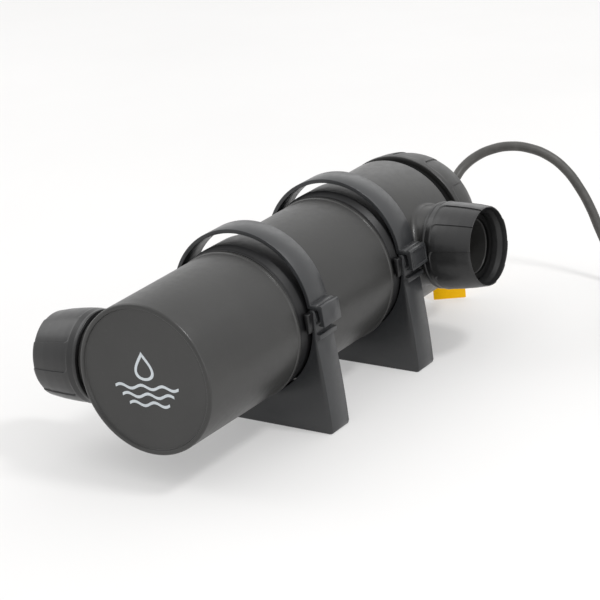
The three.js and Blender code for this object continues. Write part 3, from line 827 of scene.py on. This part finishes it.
def add_saddle(place, front):
    """A clamp's foot with its cradle, the lug that guides it in the vessel's band, and the hinge pin."""
    rear, middle = front + CLAMP_WIDTH, front + CLAMP_WIDTH / 2
    gap = KNUCKLE_WIDTH / 2 + 0.3
    saddle = raw_object(f"{place}_clamp_foot", prism(saddle_outline(), front, rear), MACHINE)
    carve(saddle, block(-60, -46.8, middle - gap, middle + gap, 67.3, 80), MACHINE)
    for side in (-1, 1):
        carve(saddle, pocket(side, 1.3, 25, 25, (25, 12), front, rear), MACHINE)
        carve(saddle, pocket(side, 27.5, 44, 53.5, (50, 34), front, rear), MACHINE)
    soften(saddle, CLAMP_EDGE)
    finish_piece(saddle, "vessel_body", CLAMP, [f"{place}_saddle"], sharp=40)
    lug = raw_object(f"{place}_guide_lug", block(44, 49.6, front - 5, front + 1, 64, 75.6), MACHINE)
    bore = [(0, front - 9), (47.6, front - 9), (47.6, front + 3), (0, front + 3)]
    carve(lug, lathe(bore, 128, False), LEVEL)
    soften(lug, 0.4)
    # The lug's near-black colour is painted shade, for the shaded gap in front of the strap.
    finish_piece(lug, "vessel_body", SHADE_BLACK, sharp=40)
    start, end, radius = front + 0.2, rear - 0.2, 1.7
    pin = lathe(rounded([(0, start), (radius, start, 0.4), (radius, end, 0.4), (0, end)], False), 32, False)
    axle = MACHINE @ Matrix.Translation((HINGE[0], 0, HINGE[2]))
    piece(f"{place}_hinge_pin", pin, axle, "vessel_body", STEEL, [f"{place}_strap_pin"])


def strap_outline():
    """The strap's arch and, at its +X end, the latch tab that hooks under the foot's barb."""
    low, high, groove, last = STRAP_LOW, STRAP_HIGH, STRAP_HIGH - 0.5, 172
    outer_end = math.degrees(math.asin((high - STRAP_CENTRE[1]) / STRAP_OUTSIDE))
    inner_end = math.degrees(math.asin((low - STRAP_CENTRE[1]) / STRAP_INSIDE))
    outside = sweep(STRAP_CENTRE, STRAP_OUTSIDE, outer_end, last, 90)
    inside = sweep(STRAP_CENTRE, STRAP_INSIDE, last, inner_end, 90)
    latch = rounded([
        (48, low), (53.1, low, 0.5), (54.6, 69.4), (52.9, 68.8, 0.3), (52.9, 67.6, 0.3), (57.4, 67.4, 0.5),
        (55.9, high, 1.2), (53.4, high), (53.2, groove), (52.4, groove), (52.2, high), (50, high),
    ], False)
    return latch + outside + inside


def add_strap(place, front):
    """A clamp's strap, with the link and the knuckle that turn on the hinge pin."""
    rear, body = front + CLAMP_WIDTH, f"{place}_strap"
    start, end = front + (CLAMP_WIDTH - KNUCKLE_WIDTH) / 2, front + (CLAMP_WIDTH + KNUCKLE_WIDTH) / 2
    strap = raw_object(f"{place}_clamp_strap", prism(strap_outline(), front, rear), MACHINE)
    soften(strap, CLAMP_EDGE)
    finish_piece(strap, body, CLAMP, [f"{place}_strap"], sharp=40)
    neck = [(-45.9, 79.4), (-48.1, 80.6), (-55, 75.4), KNUCKLE_CENTRE, (-47.9, 73.4)]
    barrel = rounded([
        (KNUCKLE_RADIUS, start, 0.4), (KNUCKLE_RADIUS, end, 0.4), (KNUCKLE_BORE, end), (KNUCKLE_BORE, start),
    ])
    axle = MACHINE @ Matrix.Translation((HINGE[0], 0, HINGE[2]))
    link = raw_object(f"{place}_strap_link", prism(neck, start, end), MACHINE)
    carve(link, lathe([(0, start - 1), (2.5, start - 1), (2.5, end + 1), (0, end + 1)], 40, False), axle)
    soften(link, 0.4)
    finish_piece(link, body, CLAMP, sharp=40)
    piece(f"{place}_strap_knuckle", lathe(barrel, 64), axle, body, CLAMP)


def add_latch_border(place, front):
    """Raised border on the latch tab's face."""
    height, margin, width, corner, proud, sunk = 12.9, 0.9, 1.5, 0.8, 0.5, -0.3
    tilt = math.atan2(1.5, 12.8)
    face = MACHINE @ Matrix.Translation((57.4, front, 67.4)) @ Matrix.Rotation(-tilt, 4, "Y")
    loops = []
    for inset in (margin, margin + width):
        far, top = CLAMP_WIDTH - inset, height - inset
        corners = ((inset, inset), (far, inset), (far, top), (inset, top))
        loops.append(rounded([(*point, corner) for point in corners]))
    order = [(loops[0], sunk), (loops[0], proud), (loops[1], proud), (loops[1], sunk), (loops[0], sunk)]
    border = grid(len(order), len(loops[0]), lambda i, j: (order[i][1], *order[i][0][j]))
    piece(f"{place}_latch_border", border, face, f"{place}_strap", CLAMP, edge=0.25)


for clamp, station in CLAMPS.items():
    add_saddle(clamp, station)
    add_strap(clamp, station)
add_latch_border("rear", CLAMPS["rear"])


# ------------------------------------------------------------------ printed mark on the front face
def add_face_mark():
    """A generic mark: a water drop over three waves."""
    proud, sunk, columns = -0.12, 0.3, 64
    drop_half, drop_height, drop_inside, drop_centre = 9.2, 8.6, 0.74, 6
    outer = [
        (drop_half * math.sin(t) * math.sin(t / 2) ** 1.4, drop_height * math.cos(t) + drop_centre)
        for t in (2 * math.pi * k / columns for k in range(columns))
    ]
    inner = [(x * drop_inside, drop_centre + (z - drop_centre) * drop_inside - 0.6) for x, z in outer]
    order = [(outer, sunk), (outer, proud), (inner, proud), (inner, sunk)]
    shapes = [grid(len(order), columns, lambda i, j: (order[i][0][j][0], order[i][1], order[i][0][j][1]))]
    wave_height, wave_half_width, steps = 1.1, 0.85, 60
    for level in range(3):
        base, half, crests = -6.5 - 5 * level, 22 - 4 * level, 6 - level
        path = [
            (-half + 2 * half * k / steps, base + wave_height * math.sin(k / steps * crests * math.pi))
            for k in range(steps + 1)
        ]
        upper = [(x, z + wave_half_width) for x, z in path]
        lower = [(x, z - wave_half_width) for x, z in reversed(path)]
        shapes.append(prism(upper + lower, proud, sunk))
    face = BARREL @ Matrix.Translation((0, FACE_DEPTH, 2))
    piece("face_mark", merged(*shapes), face, "vessel_body", PRINT, sharp=40)


add_face_mark()


# ------------------------------------------------------------------ lamp insert
SCREW_ANGLES = [math.radians(angle) for angle in (90, 210, 330)]
POST_CIRCLE = 22


def on_post_circle(angle):
    """The frame of a cover screw."""
    return LEVEL @ Matrix.Translation((POST_CIRCLE * math.cos(angle), 0, POST_CIRCLE * math.sin(angle)))


def placed(shape, x, z):
    """A (vertices, faces) moved across the axis."""
    return [(vx + x, vy, vz + z) for vx, vy, vz in shape[0]], shape[1]


def turned_insert(name, profile, material, node):
    """A ring of the insert, turned about the vessel's axis."""
    return piece(name, lathe(rounded(profile), 96), LEVEL, "lamp_insert", material, [node])


def torus_profile(radius, station, section):
    """The round section of a ring."""
    return [circle_point((radius, station), section, 2 * math.pi * k / 20) for k in range(20)]


def add_housing():
    """The plug that carries the sleeve and the electronics, with its three screw posts."""
    cup = lathe(rounded([
        (22, 261.5, 0.3), (22, 273), (38.7, 273, 0.8), (38.7, 285.6, 0.3), (35.1, 285.6), (35.1, 289.6),
        (38.7, 289.6, 0.3), (38.7, 298.4, 0.3), (34, 298.4, 0.3), (34, 276, 0.5), (18.35, 276),
        (18.35, 261.5, 0.3),
    ]), 128)
    post = lathe(rounded([
        (3.8, 275), (3.8, 302, 0.3), (1.5, 302, 0.2), (1.5, 288), (0, 288), (0, 275),
    ], False), 32, False)
    posts = [
        placed(post, POST_CIRCLE * math.cos(angle), POST_CIRCLE * math.sin(angle)) for angle in SCREW_ANGLES
    ]
    shape = merged(cup, *posts)
    piece("housing_cup", shape, LEVEL, "lamp_insert", BLACK, ["insert_housing"])


def add_back_cover():
    """The insert's cover, with a counterbore and a hole for each screw."""
    profile = rounded([
        (42.4, 300.3, 0.4), (42.4, 304.4, 0.4), (32, 304.4, 0.4), (31.6, 312, 3.2), (24, 317, 4),
        (12, 318, 0.3), (6.3, 318, 0.3), (6.3, 314.2), (28.6, 311), (28.6, 300.3),
    ])
    cover = raw_object("insert_cover", lathe(profile, 128), LEVEL)
    counterbore = lathe([(0, 316.2), (3.6, 316.2), (3.6, 336.2), (0, 336.2)], 40, False)
    hole = lathe([(0, 298), (1.7, 298), (1.7, 325), (0, 325)], 32, False)
    for angle in SCREW_ANGLES:
        carve(cover, counterbore, on_post_circle(angle))
        carve(cover, hole, on_post_circle(angle))
    finish_piece(cover, "lamp_insert", BLACK, ["back_cover"])


def add_cover_screws():
    """Pan-head screws with a cross recess."""
    profile = rounded([
        (0, 290), (1.25, 291), (1.25, 316.3), (3.2, 316.3, 0.3), (3.2, 318.1, 0.7), (0, 318.8),
    ], False)
    for number, angle in enumerate(SCREW_ANGLES, 1):
        screw = raw_object(f"cover_fixing_{number}", lathe(profile, 40, False), on_post_circle(angle))
        for wide, tall in ((0.32, 1.7), (1.7, 0.32)):
            carve(screw, block(-wide, wide, 317.5, 320, -tall, tall), on_post_circle(angle))
        finish_piece(screw, "lamp_insert", STEEL, [f"cover_screw_{number}"])


def add_lamp():
    """A quartz sleeve with a domed end over a twin-tube lamp on a moulded base."""
    dome_centre, outside, inside, end = (0, 90), 18, 16.5, 275.5
    outer = sweep(dome_centre, outside, -90, 0, 20) + [(outside, end)]
    inner = [(inside, end)] + sweep(dome_centre, inside, 0, -90, 20)
    glass = lathe(outer + inner, 96, False)
    piece("clear_sleeve", glass, LEVEL, "lamp_insert", QUARTZ, ["quartz_sleeve"])
    radius, lamp_end = 5.9, 261.9
    tube = lathe(sweep((0, 114), radius, -90, 0, 12) + [(radius, lamp_end), (0, lamp_end)], 48, False)
    tubes = [placed(tube, x, 0) for x in (-7.3, 7.3)]
    bridge_radius, station, columns = 3, 122, 32

    def bridge(i, j):
        y, z = circle_point((station, 0), bridge_radius, 2 * math.pi * j / columns)
        return (-3 + i / 2, y, z)

    shape = merged(*tubes, grid(13, columns, bridge))
    piece("lamp_tubes", shape, LEVEL, "lamp_insert", LAMP, ["uvc_lamp"], sharp=50)


def add_sleeve_nut():
    """Knurled ring that holds the sleeve in the housing."""
    turned_insert("sleeve_ring", [
        (25, 256, 0.4), (25, 272.4, 0.4), (22.4, 272.4, 0.3), (22.4, 257.9), (18.4, 257.9, 0.3),
        (18.4, 255.5, 0.3), (24.5, 255.5),
    ], BLACK, "sleeve_nut")
    count, circle = 30, 24.6
    rib = lathe(rounded([(0, 258), (0.9, 258, 0.5), (0.9, 270.6, 0.5), (0, 270.6)], False), 12, False)
    ribs = [placed(rib, *circle_point((0, 0), circle, 2 * math.pi * k / count)) for k in range(count)]
    piece("sleeve_ring_ribs", merged(*ribs), LEVEL, "lamp_insert", BLACK)


def add_gland():
    """Hexagon cable gland with a domed nut."""
    hexagon = lathe([(0, 318.3), (10.4, 318.3), (10.4, 321.6), (0, 321.6)], 6, False)
    piece("gland_hexagon", hexagon, LEVEL, "lamp_insert", BLACK, ["cable_gland"], edge=0.35)
    dome = rounded([
        (0, 312), (5.9, 312), (5.9, 321), (8.6, 321, 0.2), (8.6, 323.4, 0.8), (6.2, 326, 1), (0, 326),
    ], False)
    piece("gland_dome", lathe(dome, 64, False), LEVEL, "lamp_insert", BLACK)


add_housing()
add_back_cover()
add_cover_screws()
add_lamp()
add_sleeve_nut()
add_gland()
turned_insert("housing_seal", torus_profile(37.1, 287.6, 1.7), RUBBER, "housing_o_ring")
turned_insert("sleeve_seal", torus_profile(19.9, 259.6, 1.5), RUBBER, "sleeve_o_ring")

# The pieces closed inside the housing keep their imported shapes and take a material.
for node, material in {
    "cover_gasket": RUBBER, "lamp_base": WHITE, "lamp_holder": WHITE, "ballast_board": BOARD,
    "ballast_choke": STAMPED, "ballast_capacitor": BLACK, "terminal_block": WHITE,
}.items():
    for place in frame["nodes"][node].material_slots:
        place.material = material


# ------------------------------------------------------------------ floor and light
FLOOR_HALF = 40
LIGHTS = (  # name, place, diameter and power
    ("key", (-1.3, -0.2, 1.3), 1.4, 6),
    ("fill", (1.5, -0.6, 0.35), 1.2, 5),
    ("top", (0.75, 0.05, 1.2), 0.24, 6.5),
    ("rim", (-0.3, 1.8, 0.8), 1.4, 2),
)
LIT_POINT = Vector((0, 0, 0.05))  # where every light looks
BRIGHT_SIDE = (-0.45, 0.42, 0.79)  # where the surroundings are brightest
SURROUNDINGS = (("From Min", -0.4), ("From Max", 1.0), ("To Min", 0.76), ("To Max", 1.1))


def add_floor():
    """A plain pale floor that runs to the horizon."""
    sheet = grid(2, 2, lambda i, j: (FLOOR_HALF * (2 * j - 1), FLOOR_HALF * (2 * i - 1), 0), False)
    floor = raw_object("floor", sheet, Matrix.Identity(4))
    finish = Finish("floor", Specular_IOR_Level=0.1, Emission_Color=(1, 1, 1, 1), Emission_Strength=0.3)
    pale, paler = (0.51, 0.505, 0.5), (0.53, 0.525, 0.52)
    finish.colour(finish.mix(finish.spread(finish.noise(3, 2), 0, 1), pale, paler))
    finish.roughness(finish.spread(finish.noise(20, 2), 0.7, 0.8))
    floor.data.materials.append(finish.material)


def add_surroundings():
    """White all round, a little brighter from above and behind."""
    world = bpy.context.scene.world or bpy.data.worlds.new("world")
    bpy.context.scene.world = world
    world.use_nodes = True
    nodes, links = world.node_tree.nodes, world.node_tree.links
    toward = nodes.new("ShaderNodeVectorMath")
    toward.operation = "DOT_PRODUCT"
    toward.inputs[1].default_value = BRIGHT_SIDE
    links.new(nodes.new("ShaderNodeTexCoord").outputs["Generated"], toward.inputs[0])
    ramp = nodes.new("ShaderNodeMapRange")
    for socket, number in SURROUNDINGS:
        ramp.inputs[socket].default_value = number
    links.new(toward.outputs["Value"], ramp.inputs["Value"])
    links.new(ramp.outputs["Result"], nodes["Background"].inputs["Strength"])
    nodes["Background"].inputs["Color"].default_value = (1, 1, 1, 1)


def add_lights():
    """Round soft lights, each turned to the vessel."""
    for name, place, size, power in LIGHTS:
        data = bpy.data.lights.new(name, "AREA")
        data.shape = "DISK"
        data.size = size
        data.energy = power
        light = bpy.data.objects.new(name, data)
        light.location = place
        light.rotation_euler = (Vector(place) - LIT_POINT).to_track_quat("Z", "Y").to_euler()
        bpy.context.scene.collection.objects.link(light)


add_floor()
add_surroundings()
add_lights()
bpy.context.scene.view_settings.view_transform = "Standard"
